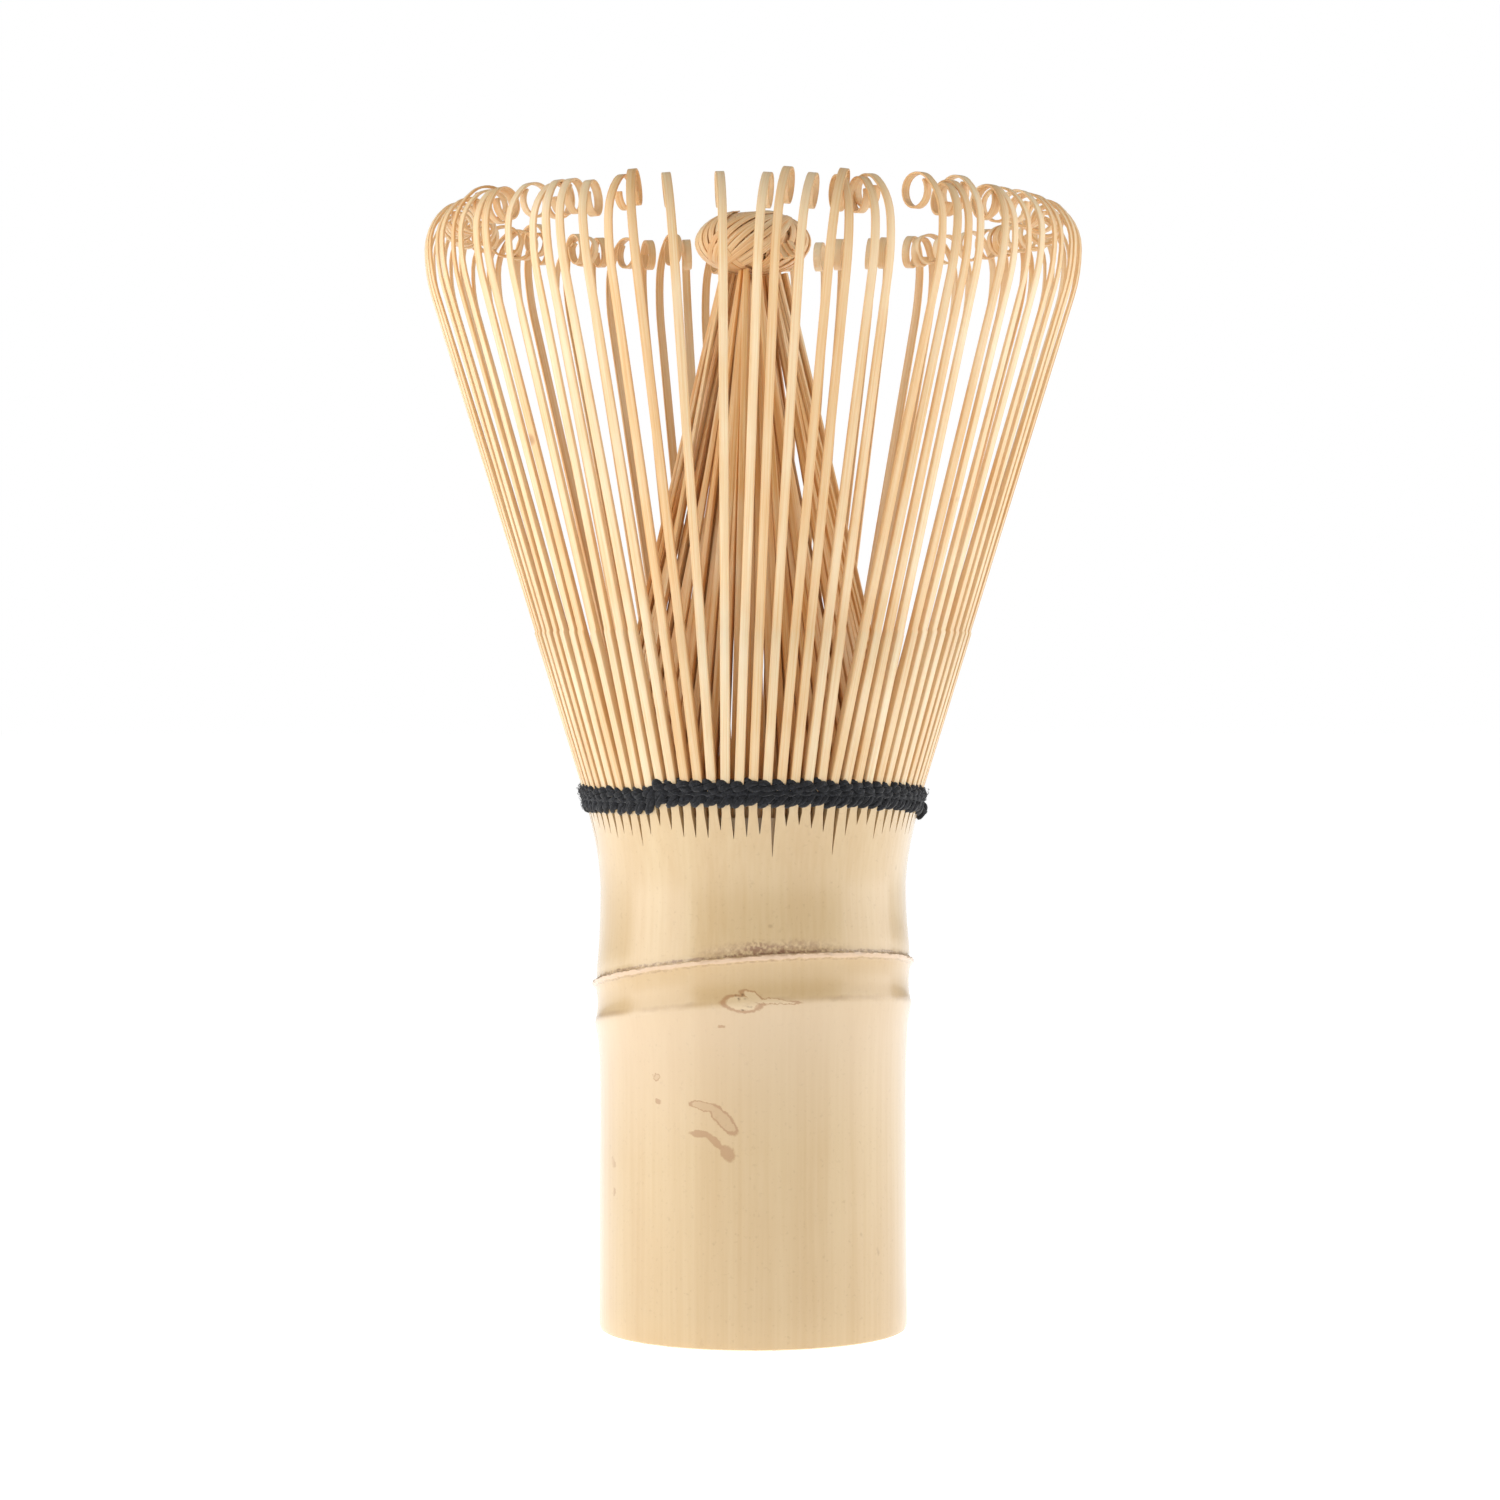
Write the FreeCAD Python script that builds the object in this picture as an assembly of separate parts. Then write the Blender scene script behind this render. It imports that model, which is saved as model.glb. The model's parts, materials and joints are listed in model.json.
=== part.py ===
"""Bamboo tea whisk: a hollow culm handle whose upper wall is split into tines.

Outer tines fan out and curl at their tips, inner tines lean together into a
swirled knot, and a black cotton thread is twined round the root of the comb.
Millimetres, +Z up, origin at the centre of the handle's bottom face.
"""
import FreeCAD, Part
import math
import os
from FreeCAD import Vector

os.makedirs("parts", exist_ok=True)

# Driving dimensions -------------------------------------------------------
FOOT_R = 14.9          # handle radius at the bottom
GRIP_TOP_Z = 24.0      # the straight stretch of the handle ends here
GRIP_TOP_R = 14.8
NODE_R = 15.1          # swell of the culm's node
NODE_Z = 33.0
WAIST_R = 14.75        # narrowest place, between the node and the comb
WAIST_Z = 42.6
BORE_R = 10.5          # inside of the hollow culm
SEPTUM_Z = 31.0        # underside of the diaphragm that closes the culm
SEPTUM_T = 2.2
SEPTUM_R = 11.15       # it rests on a ledge, where the culm widens inside
LEDGE_R = 11.3
CAVITY_STEP = 2.0      # the cavity's first widening, above the septum
CAVITY_TOP_R = 13.2    # the wall is pared thinner inside, under the comb

COMB_Z = 48.0          # bottom of the splits
COMB_R = 15.4          # handle radius there
HINGE_Z = 53.0         # top of the thread, where the outer tines start to flex
HINGE_R = 16.72        # outer face of the tines there
ROOT_THICK = 1.02      # radial thickness of an outer tine at its root
ROOT_GAP = 0.1         # the saw-thin gap between a root tooth and its tine's node
ROOT_PROUD = 0.03
SPLIT_RUNOUT = 0.5     # the splits fade out this far into the solid culm
RIDGE_TILT_X = 0.071   # rise of the node's rings towards +X, per mm
RIDGE_TILT_Y = -0.18   # and towards the front, -Y
SCAR_RIDGE = (34.4, 14.0, 1.4)     # the node's rings: height, ring radius, section radius
LOWER_RIDGE = (30.6, 13.5, 1.7)

OUTER_COUNT = 80
GROUP_SIZE = 4         # outer tines that share a node
FIRST_TINE = 2         # the first group starts this many tines round from +X
# How far each tip of a front group leans sideways, towards +X at the front.
TIP_LEANS = {
    13: (-0.2, 0.6, -0.2, -1.2),
    14: (-1.1, -1.2, -1.1, 0.3),
    15: (2.6, 3.3, 2.2, 1.9),
    16: (2.2, 1.4, 1.5, 0.5),
    17: (3.6, 2.5, 1.4, 0.3),
    18: (1.0, 0.2, 0.0, -0.4),
}
PAIR_LEANS = (0.5, -0.3, 0.4, -0.5)   # the other groups lean together in pairs
GROUP_SWAY = 0.4
SWAY_STEP = 1.9        # radians between one group's sway and the next
TINE_WIDTH = 0.8
LEAN = math.radians(17.1)
STEP_Z = 67.1          # the skin is left on below this height
STEP_DEPTH = 0.12
BEND_Z = 99.3          # the straight leg ends here
TIP_THICK = 0.24
CURL_TOP_Z = 108.4
CURL_ARCS = ((15.6, 17.1), (5.0, 50.0), (2.2, 60.0), (1.45, 268.0))

INNER_COUNT = 80
INNER_GROUPS = 8
INNER_SECTOR = 3.1     # degrees of arc that one inner tine fills
INNER_ROOT = (14.7, 51.9)
INNER_TOP = (3.15, 101.5)
INNER_ROOT_THICK = 0.7
INNER_TOP_THICK = 0.4

KNOT_R = 5.8
KNOT_TOP_Z = 108.0
KNOT_BASE = 0.72       # shares of the knot's radius and height
KNOT_WIDEST = 0.46
KNOT_SHOULDER = (0.62, 0.93)

THREAD_Z = (50.2, 51.6, 53.0)
THREAD_PROUD = 0.42    # how far a row of thread stands out from the tines
THREAD_GAP = 0.04      # it lies on the tines without biting into them
THREAD_SHARES = (0.7, 1.2, 0.9, 0.5)  # of that, at the row's four corners from below
THREAD_INSET = 0.28    # the row is rounded off over this share of its height
END_KNOT_R = 0.7
END_KNOT_OUT = 0.6     # share of its radius that its centre stands out from the rows

PITCH = 360.0 / OUTER_COUNT
UP = Vector(0, 0, 1)


def point(r, z):
    """A point of a profile, in the XZ plane."""
    return Vector(r, 0, z)


def polygon_face(points):
    return Part.Face(Part.makePolygon(points + points[:1]))


def revolved(points, start=0.0, sweep=360.0):
    """The profile turned about Z, starting at an azimuth in degrees."""
    solid = polygon_face(points).revolve(Vector(0, 0, 0), UP, sweep)
    solid.rotate(Vector(0, 0, 0), UP, start)
    return solid


def comb_outer_r(z):
    """Outer radius of the flared comb, between its splits and the hinge."""
    return COMB_R + (HINGE_R - COMB_R) * (z - COMB_Z) / (HINGE_Z - COMB_Z)


def culm_outline():
    """The handle's half section, without its comb."""
    outer = Part.BSplineCurve()
    outer.interpolate([
        point(GRIP_TOP_R, GRIP_TOP_Z),
        point(NODE_R, NODE_Z),
        point(WAIST_R, WAIST_Z),
        point(COMB_R, COMB_Z),
    ])
    first_step_z = SEPTUM_Z + SEPTUM_T + CAVITY_STEP
    corners = [
        point(COMB_R, COMB_Z),
        point(CAVITY_TOP_R, COMB_Z),
        point(CAVITY_TOP_R, WAIST_Z + 2.0),
        point(LEDGE_R, first_step_z),
        point(LEDGE_R, SEPTUM_Z),
        point(BORE_R, SEPTUM_Z),
        point(BORE_R, 0),
        point(FOOT_R, 0),
        point(GRIP_TOP_R, GRIP_TOP_Z),
    ]
    edges = [outer.toShape()]
    edges += [Part.makeLine(a, b) for a, b in zip(corners, corners[1:])]
    return Part.Face(Part.Wire(edges))


def node_ring(centre_z, ring_r, section_r):
    """A soft ring of the culm's node, in a plane that leans to the front."""
    normal = Vector(-RIDGE_TILT_X, -RIDGE_TILT_Y, 1)
    return Part.makeTorus(ring_r, section_r, Vector(0, 0, centre_z), normal)


def root_tooth():
    """The root of one outer tine, from the splits up to the hinge."""
    profile = polygon_face([
        point(COMB_R - ROOT_THICK, COMB_Z - SPLIT_RUNOUT),
        point(COMB_R - ROOT_GAP, COMB_Z - SPLIT_RUNOUT),
        point(COMB_R, COMB_Z),
        point(HINGE_R, HINGE_Z),
        point(HINGE_R - ROOT_THICK, HINGE_Z),
    ])
    tooth = profile.extrude(Vector(0, TINE_WIDTH, 0))
    tooth.translate(Vector(0, -TINE_WIDTH / 2, 0))
    return tooth


def turned(shape, degrees):
    copy = shape.copy()
    copy.rotate(Vector(0, 0, 0), UP, degrees)
    return copy


def handle():
    culm = culm_outline().revolve(Vector(0, 0, 0), UP, 360)
    scar_ridge = node_ring(*SCAR_RIDGE)
    lower_ridge = node_ring(*LOWER_RIDGE)
    tooth = root_tooth()
    teeth = [turned(tooth, PITCH * i) for i in range(OUTER_COUNT)]
    return culm.fuse([scar_ridge, lower_ridge] + teeth).removeSplitter()


def septum():
    return Part.makeCylinder(SEPTUM_R, SEPTUM_T, Vector(0, 0, SEPTUM_Z))


def arc_edge(centre, radius, start, end):
    """An arc in the XZ plane, between two directions in radians from +X."""
    middle = (start + end) / 2
    ends = [
        centre + Vector(radius * math.cos(a), 0, radius * math.sin(a))
        for a in (start, middle, end)
    ]
    return Part.Arc(*ends).toShape()


def outer_tine():
    """One curled strip, cut to a taper in the radial plane and given its width."""
    root_z = HINGE_Z + ROOT_GAP
    slope = math.tan(LEAN)
    root_out = point(HINGE_R + ROOT_PROUD, root_z)
    step_r = root_out.x + slope * (STEP_Z - root_z)
    leg_out = point(root_out.x + slope * (BEND_Z - root_z), BEND_Z)
    inward = Vector(-math.cos(LEAN), 0, math.sin(LEAN))
    middle = leg_out + inward * (TIP_THICK / 2)

    right, left = [], []
    heading = -LEAN
    for radius, turn in CURL_ARCS:
        to_centre = Vector(-math.cos(heading), 0, -math.sin(heading))
        centre = middle + to_centre * radius
        end = heading + math.radians(turn)
        right.append(arc_edge(centre, radius + TIP_THICK / 2, heading, end))
        left.append(arc_edge(centre, radius - TIP_THICK / 2, heading, end))
        middle = centre + Vector(math.cos(end), 0, math.sin(end)) * radius
        heading = end

    tip = Vector(math.cos(heading), 0, math.sin(heading)) * (TIP_THICK / 2)
    leg_in = leg_out + inward * TIP_THICK
    corners = [
        leg_in,
        point(HINGE_R - ROOT_THICK, root_z),
        root_out,
        point(step_r, STEP_Z),
        point(step_r - STEP_DEPTH, STEP_Z),
        leg_out,
    ]
    edges = [Part.makeLine(a, b) for a, b in zip(corners, corners[1:])]
    edges += right + [Part.makeLine(middle + tip, middle - tip)] + left[::-1]
    strip = Part.Face(Part.Wire(Part.sortEdges(edges)[0]))
    tine = strip.extrude(Vector(0, TINE_WIDTH, 0))
    tine.translate(Vector(0, -TINE_WIDTH / 2, 0))
    return tine


def tip_leans(group):
    """How far each tine of a numbered group leans sideways at its tip."""
    sway = GROUP_SWAY * math.sin(SWAY_STEP * group)
    return TIP_LEANS.get(group, [sway + lean for lean in PAIR_LEANS])


def leaning(tine, lean):
    """A copy of the tine at +X, tipped sideways about its root."""
    copy = tine.copy()
    root = point(HINGE_R - ROOT_THICK / 2, HINGE_Z)
    reach = CURL_TOP_Z - HINGE_Z
    copy.rotate(root, Vector(-1, 0, 0), math.degrees(math.asin(lean / reach)))
    return copy


def inner_tine():
    """One strip of the inner cone, narrower towards the knot."""
    low, high = INNER_ROOT_THICK / 2, INNER_TOP_THICK / 2
    (root_r, root_z), (top_r, top_z) = INNER_ROOT, INNER_TOP
    return revolved(
        [
            point(root_r - low, root_z),
            point(root_r + low, root_z),
            point(top_r + high, top_z),
            point(top_r - high, top_z),
        ],
        -INNER_SECTOR / 2,
        INNER_SECTOR,
    )


def inner_knot():
    """The outer form of the ball that the swirled inner tips make."""
    bottom_z = INNER_TOP[1]
    height = KNOT_TOP_Z - bottom_z
    base_r = KNOT_R * KNOT_BASE
    shoulder_r, shoulder_z = KNOT_R * KNOT_SHOULDER[0], bottom_z + height * KNOT_SHOULDER[1]
    side = Part.BSplineCurve()
    side.interpolate([
        point(base_r, bottom_z),
        point(KNOT_R, bottom_z + height * KNOT_WIDEST),
        point(shoulder_r, shoulder_z),
        point(0, KNOT_TOP_Z),
    ], InitialTangent=point(1, 0.9), FinalTangent=point(-1, 0))
    axis = Part.makeLine(point(0, KNOT_TOP_Z), point(0, bottom_z))
    base = Part.makeLine(point(0, bottom_z), point(base_r, bottom_z))
    outline = Part.Wire([side.toShape(), axis, base])
    return Part.Face(outline).revolve(Vector(0, 0, 0), UP, 360)


def thread_row(low_z, high_z):
    """One twined row, a bead that follows the flare of the comb."""
    low_r = comb_outer_r(low_z) + THREAD_GAP
    high_r = comb_outer_r(high_z) + THREAD_GAP
    inset = (high_z - low_z) * THREAD_INSET
    proud = [share * THREAD_PROUD for share in THREAD_SHARES]
    return revolved([
        point(low_r, low_z),
        point(low_r + proud[0], low_z),
        point(low_r + proud[1], low_z + inset),
        point(high_r + proud[2], high_z - inset),
        point(high_r + proud[3], high_z),
        point(high_r, high_z),
    ])


def thread_end_knot(rows):
    """The small knot that ties the thread off, on the +X side."""
    ball_r = comb_outer_r(THREAD_Z[1]) + THREAD_PROUD + END_KNOT_R * END_KNOT_OUT
    ball = Part.makeSphere(END_KNOT_R, Vector(ball_r, 0, THREAD_Z[1]))
    for row in rows:
        ball = ball.cut(row)
    return max(ball.Solids, key=lambda solid: solid.Volume)


def save(name, solids):
    """Writes one node, a single solid or a group of separate ones."""
    shape = solids[0] if len(solids) == 1 else Part.makeCompound(solids)
    if not shape.isValid() or shape.Volume <= 0:
        raise ValueError(name + " isn't a sound solid")
    shape.exportStep(os.path.join("parts", name + ".step"))


save("handle", [handle()])
save("node_septum", [septum()])

straight_tine = outer_tine()
for group in range(1, OUTER_COUNT // GROUP_SIZE + 1):
    first = (group - 1) * GROUP_SIZE + FIRST_TINE
    tines = [
        turned(leaning(straight_tine, lean), PITCH * (first + i))
        for i, lean in enumerate(tip_leans(group))
    ]
    save("outer_tines_%02d" % group, tines)

first_inner = inner_tine()
inner_size = INNER_COUNT // INNER_GROUPS
for group in range(1, INNER_GROUPS + 1):
    first = (group - 1) * inner_size
    tines = [
        turned(first_inner, 360.0 / INNER_COUNT * (first + i))
        for i in range(inner_size)
    ]
    save("inner_tines_%02d" % group, tines)
save("inner_knot", [inner_knot()])

lower_row = thread_row(THREAD_Z[0], THREAD_Z[1])
upper_row = thread_row(THREAD_Z[1], THREAD_Z[2])
save("thread_lower_row", [lower_row])
save("thread_upper_row", [upper_row])
save("thread_end_knot", [thread_end_knot([lower_row, upper_row])])
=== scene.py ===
"""Bamboo tea whisk: a culm handle, curled outer tines, a knotted inner cone and a twined thread."""
import json
import math
import random

import bmesh
import bpy
from bpy.props import FloatProperty, FloatVectorProperty, IntProperty, PointerProperty
from mathutils import Matrix, Vector
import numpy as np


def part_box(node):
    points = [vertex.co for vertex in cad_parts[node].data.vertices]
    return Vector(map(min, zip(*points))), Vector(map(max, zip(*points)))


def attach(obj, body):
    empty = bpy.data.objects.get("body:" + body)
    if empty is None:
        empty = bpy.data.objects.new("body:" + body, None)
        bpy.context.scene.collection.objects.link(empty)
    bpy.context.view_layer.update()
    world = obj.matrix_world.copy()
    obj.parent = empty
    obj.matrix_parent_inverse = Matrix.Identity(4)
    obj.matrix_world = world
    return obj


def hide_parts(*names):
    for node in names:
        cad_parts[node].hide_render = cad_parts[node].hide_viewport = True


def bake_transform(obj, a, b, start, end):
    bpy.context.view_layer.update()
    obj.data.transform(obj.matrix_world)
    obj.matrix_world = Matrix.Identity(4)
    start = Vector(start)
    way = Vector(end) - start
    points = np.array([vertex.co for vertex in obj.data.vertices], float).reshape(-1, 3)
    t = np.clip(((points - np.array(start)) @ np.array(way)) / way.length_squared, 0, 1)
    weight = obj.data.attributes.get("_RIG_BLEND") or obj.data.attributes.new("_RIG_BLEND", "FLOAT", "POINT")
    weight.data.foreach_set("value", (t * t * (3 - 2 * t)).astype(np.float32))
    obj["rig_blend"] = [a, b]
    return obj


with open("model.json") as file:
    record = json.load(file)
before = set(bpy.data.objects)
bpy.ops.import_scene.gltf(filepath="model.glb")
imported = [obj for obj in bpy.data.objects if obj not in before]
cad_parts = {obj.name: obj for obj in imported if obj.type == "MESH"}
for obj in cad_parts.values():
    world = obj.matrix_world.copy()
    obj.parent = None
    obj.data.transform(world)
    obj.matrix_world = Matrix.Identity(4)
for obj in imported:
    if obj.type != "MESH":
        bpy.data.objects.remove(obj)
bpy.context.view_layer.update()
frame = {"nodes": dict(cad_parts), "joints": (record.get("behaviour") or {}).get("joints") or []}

bl_info = {
    "name": "Bamboo Tea Whisk",
    "version": (1, 0, 0),
    "blender": (4, 5, 0),
    "location": "View3D > Sidebar > Whisk",
    "description": "Models a bamboo tea whisk round its packed frame",
    "category": "Add Mesh",
}

MM = 0.001
HANDLE_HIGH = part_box("handle")[1]
KNOT_LOW, KNOT_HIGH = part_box("inner_knot")
ROW_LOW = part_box("thread_lower_row")[0]
TINE_JOINTS = [j for j in frame["joints"] if j["child"].startswith("outer_tines")]
OUTER_COUNT = 80
GROUP_SIZE = OUTER_COUNT // len(TINE_JOINTS)
PITCH = math.tau / OUTER_COUNT
FIRST_TINE = 2                        # the first group starts this far round from +X
RIDGE_Z = 34.4                        # height in mm of the node's scar ridge, on the axis
RIDGE_RISE = (0.071, -0.155)          # and its rise per mm towards +X and the back
HINGE_Z = HANDLE_HIGH.z               # the top of the comb's root teeth
COMB_Z = HINGE_Z - 5.0 * MM           # the bottom of the splits
COMB_R = 15.4 * MM
HINGE_R = HANDLE_HIGH.x               # outer face of the comb at its top
# How far each tip of a front group leans sideways, in mm, towards +X at the front.
TIP_LEANS = {
    13: (-0.2, 0.6, -0.2, -1.2),
    14: (-1.1, -1.2, -1.1, 0.3),
    15: (2.6, 3.3, 2.2, 1.9),
    16: (2.2, 1.4, 1.5, 0.5),
    17: (3.6, 2.5, 1.4, 0.3),
    18: (1.0, 0.2, 0.0, -0.4),
}
PAIR_LEANS = (0.5, -0.3, 0.4, -0.5)   # the other groups lean together in pairs
GROUP_SWAY = 0.4


def linear(code):
    """An sRGB hex colour as linear red, green, blue and alpha."""
    channels = [int(code[i:i + 2], 16) / 255 for i in (1, 3, 5)]
    return tuple(c / 12.92 if c < 0.04045 else ((c + 0.055) / 1.055) ** 2.4 for c in channels) + (1.0,)


def length(name, mm, description):
    return FloatProperty(name=name, description=description, default=mm * MM, unit="LENGTH", precision=5)


def colour(name, code, description):
    return FloatVectorProperty(name=name, description=description, default=linear(code), size=4,
                               subtype="COLOR", min=0.0, max=1.0)


class WhiskHandleSettings(bpy.types.PropertyGroup):
    split_width: length("Split width", 0.42, "Width of the saw-fine splits of the comb")
    segments: IntProperty(name="Segments", description="Steps round the culm", default=320)
    skin: colour("Skin", "#D7BA8C", "Dried bamboo skin")
    skin_dark: colour("Skin streaks", "#C9A570", "Fibre streaks and the node's darker band")
    scar: colour("Scar", "#8A5B3C", "Sheath scar and bud scar")
    pith: colour("Pith", "#E6CFA4", "Cut wall and inside")


class WhiskOuterSettings(bpy.types.PropertyGroup):
    width: length("Width", 0.88, "Width of a tine at its root")
    tip_width: length("Tip width", 0.82, "Width of a tine in its curl")
    thickness: length("Thickness", 1.0, "Radial thickness at the root")
    tip_thickness: length("Tip thickness", 0.22, "Thickness of the shaved tip")
    step: length("Step", 14.75, "Length from the hinge to where the skin is shaved off")
    leg: length("Leg", 48.4, "Straight length from the hinge to the first bend")
    lean: FloatProperty(name="Lean", description="Outward lean of the legs",
                        default=math.radians(17.1), subtype="ANGLE")
    skin: colour("Skin", "#F0DEBC", "Skin left on the lower stretch")
    shaved: colour("Shaved", "#F4DDB6", "Shaved upper stretch")


class WhiskInnerSettings(bpy.types.PropertyGroup):
    width: length("Width", 0.80, "Width at the root")
    tip_width: length("Tip width", 0.52, "Width under the knot")
    thickness: length("Thickness", 0.50, "Thickness at the root")
    tip_thickness: length("Tip thickness", 0.26, "Thickness under the knot")
    ribbon: length("Ribbon", 0.72, "Width of a flattened tip in the knot")
    fibre: colour("Fibre", "#F5D6A2", "Inner wall fibre")
    knot: colour("Knot", "#F7DFB6", "Tips swirled into the knot")


class WhiskThreadSettings(bpy.types.PropertyGroup):
    ply_radius: length("Ply radius", 0.28, "Radius of one ply of the yarn")
    yarn: colour("Yarn", "#121317", "Dyed black cotton")
    # the lint colour is partly paler fibre and partly painted glints on the yarn
    lint: colour("Lint", "#33353D", "Paler fibres on the yarn")


# Small tools ----------------------------------------------------------------

def deselect():
    bpy.ops.object.select_all(action="DESELECT")


def only(obj):
    """Makes the object the only selected one, and active."""
    deselect()
    obj.select_set(True)
    bpy.context.view_layer.objects.active = obj
    return obj


def added(name):
    """The object that the last primitive made, under its own name."""
    obj = bpy.context.active_object
    obj.name = name
    obj.data.name = name
    return obj


def applied(obj, kind, **settings):
    """Adds a modifier with its settings and applies it."""
    only(obj)
    bpy.ops.object.modifier_add(type=kind)
    modifier = obj.modifiers[-1]
    for key, value in settings.items():
        setattr(modifier, key, value)
    bpy.ops.object.modifier_apply(modifier=modifier.name)
    return obj


def settled(obj, matrix):
    """Moves the object by a matrix and puts its place in its mesh."""
    obj.matrix_world = matrix
    only(obj)
    bpy.ops.object.transform_apply(location=True, rotation=True, scale=True)
    return obj


def copied(obj, name):
    twin = obj.copy()
    twin.data = obj.data.copy()
    twin.name = name
    bpy.context.scene.collection.objects.link(twin)
    return twin


def joined(pieces, name):
    only(pieces[0])
    for piece in pieces:
        piece.select_set(True)
    bpy.ops.object.join()
    return added(name)


def removed(obj):
    bpy.data.objects.remove(obj, do_unlink=True)


def smoothed(obj, degrees=35.0):
    only(obj)
    bpy.ops.object.shade_smooth_by_angle(angle=math.radians(degrees))
    return obj


def put_seed(obj, value):
    """One number per strip, for its own shade and grain."""
    layer = obj.data.attributes.get("strip_seed") or obj.data.attributes.new("strip_seed", "FLOAT", "POINT")
    layer.data.foreach_set("value", [value] * len(obj.data.vertices))


# Materials ------------------------------------------------------------------

def add_node(tree, kind, links=(), **settings):
    """Adds a node. links pairs an input with a value, an output socket or a node's first output."""
    node = tree.nodes.new("ShaderNode" + kind)
    for key, value in settings.items():
        setattr(node, key, value)
    for key, value in dict(links).items():
        if isinstance(value, bpy.types.Node):
            value = value.outputs[0]
        if isinstance(value, bpy.types.NodeSocket):
            tree.links.new(value, node.inputs[key])
        else:
            node.inputs[key].default_value = value
    return node


def new_material(name):
    material = bpy.data.materials.new(name)
    material.use_nodes = True
    tree = material.node_tree
    tree.nodes.clear()
    return material, tree


def shaded(tree, bump, **sockets):
    """The shader and the output, with a bump node's normal."""
    links = {key.replace("_", " "): value for key, value in sockets.items()}
    shader = add_node(tree, "BsdfPrincipled", links)
    tree.links.new(bump.outputs["Normal"], shader.inputs["Normal"])
    add_node(tree, "OutputMaterial", {"Surface": shader.outputs["BSDF"]})


def laid_over(tree, tone, factor, strength, colour):
    """Lays a colour over a tone where a factor says, at a given strength."""
    amount = add_node(tree, "Math", {0: factor, 1: strength}, operation="MULTIPLY")
    return add_node(tree, "Mix", {0: amount, 6: tone, 7: colour}, data_type="RGBA").outputs[2]


def strip_material(name, skin, shaved, step_mm, shade):
    """Split bamboo: silky fibres along each strip, skin left on below the step."""
    material, tree = new_material(name)
    along = add_node(tree, "Attribute", attribute_name="along").outputs["Fac"]
    across = add_node(tree, "Attribute", attribute_name="across").outputs["Fac"]
    seed = add_node(tree, "Attribute", attribute_name="strip_seed").outputs["Fac"]
    place = add_node(tree, "TexCoord").outputs["Object"]
    # fibre bundles about 0.12 mm wide and 9 mm long, shifted from strip to strip
    strip = add_node(tree, "CombineXYZ", {
        "X": add_node(tree, "Math", {0: across, 1: 8.0}, operation="MULTIPLY"),
        "Y": add_node(tree, "Math", {0: along, 1: 0.11}, operation="MULTIPLY"),
        "Z": add_node(tree, "Math", {0: seed, 1: 37.0}, operation="MULTIPLY"),
    }).outputs[0]
    fibres = add_node(tree, "TexNoise", {"Vector": strip, "Scale": 1.0, "Detail": 4.0})
    mottle = add_node(tree, "TexNoise", {"Vector": place, "Scale": 90.0, "Detail": 3.0})
    below = add_node(tree, "MapRange", {0: along, 1: step_mm + 0.25, 2: step_mm - 0.25})
    base = add_node(tree, "Mix", {0: below, 6: shaved, 7: skin}, data_type="RGBA").outputs[2]
    streak = add_node(tree, "Mix", {
        0: 1.0, 6: base, 7: shade,
    }, data_type="RGBA", blend_type="MULTIPLY").outputs[2]
    tone = add_node(tree, "Mix", {
        0: add_node(tree, "MapRange", {0: fibres, 1: 0.3, 2: 0.68}), 6: streak, 7: base,
    }, data_type="RGBA").outputs[2]
    pale = add_node(tree, "Mix", {
        0: add_node(tree, "MapRange", {0: mottle, 1: 0.45, 2: 0.85}), 6: tone,
        7: linear("#F7E6C6"),
    }, data_type="RGBA").outputs[2]
    own = add_node(tree, "Mix", {
        0: 1.0, 6: pale, 7: shade,
    }, data_type="RGBA", blend_type="MULTIPLY").outputs[2]
    tone = laid_over(tree, pale, seed, 0.7, own)
    # painted shade: the side faces of the strips and the edges of the knot's ribbons are darkened to a golden
    # tone, which stands in for the shade on the sides and in the gaps between them
    edge_shade_mask = add_node(tree, "MapRange", {
        0: add_node(tree, "Math", {0: across}, operation="ABSOLUTE"), 1: 0.26, 2: 0.42,
    })
    golden_shaded_tone = add_node(tree, "Mix", {
        0: 1.0, 6: tone, 7: shade,
    }, data_type="RGBA", blend_type="MULTIPLY").outputs[2]
    tone = laid_over(tree, tone, edge_shade_mask, 0.6, golden_shaded_tone)
    # a brown fleck here and there, about 2 mm long
    fleck = add_node(tree, "MapRange", {
        0: add_node(tree, "TexNoise", {"Vector": place, "Scale": 210.0, "Detail": 1.0}), 1: 0.8,
        2: 0.86,
    })
    tone = add_node(tree, "Mix", {
        0: fleck, 6: tone, 7: linear("#A0673A"),
    }, data_type="RGBA").outputs[2]
    bump = add_node(tree, "Bump", {"Strength": 0.25, "Distance": 0.00006, "Height": fibres})
    shaded(tree, bump, Base_Color=tone, Roughness=0.42, IOR=1.5, Subsurface_Weight=0.12,
           Subsurface_Radius=(0.0006, 0.0003, 0.00015))
    return material


def height_over(tree, place, rise_x, rise_y, height):
    """How far a point is above a leaning plane, in mm."""
    normal = (-rise_x, -rise_y, 1.0)
    up = add_node(tree, "VectorMath", {0: place, 1: normal}, operation="DOT_PRODUCT")
    return add_node(tree, "Math", {
        0: add_node(tree, "Math", {0: up.outputs["Value"], 1: 1000.0}, operation="MULTIPLY"),
        1: height,
    }, operation="SUBTRACT")


def band(tree, value, middle, half, soft):
    """1 within half of the middle, falling to 0 over a soft margin."""
    away = add_node(tree, "Math", {
        0: add_node(tree, "Math", {0: value, 1: middle}, operation="SUBTRACT"),
    }, operation="ABSOLUTE")
    return add_node(tree, "MapRange", {0: away, 1: half + soft, 2: half})


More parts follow.
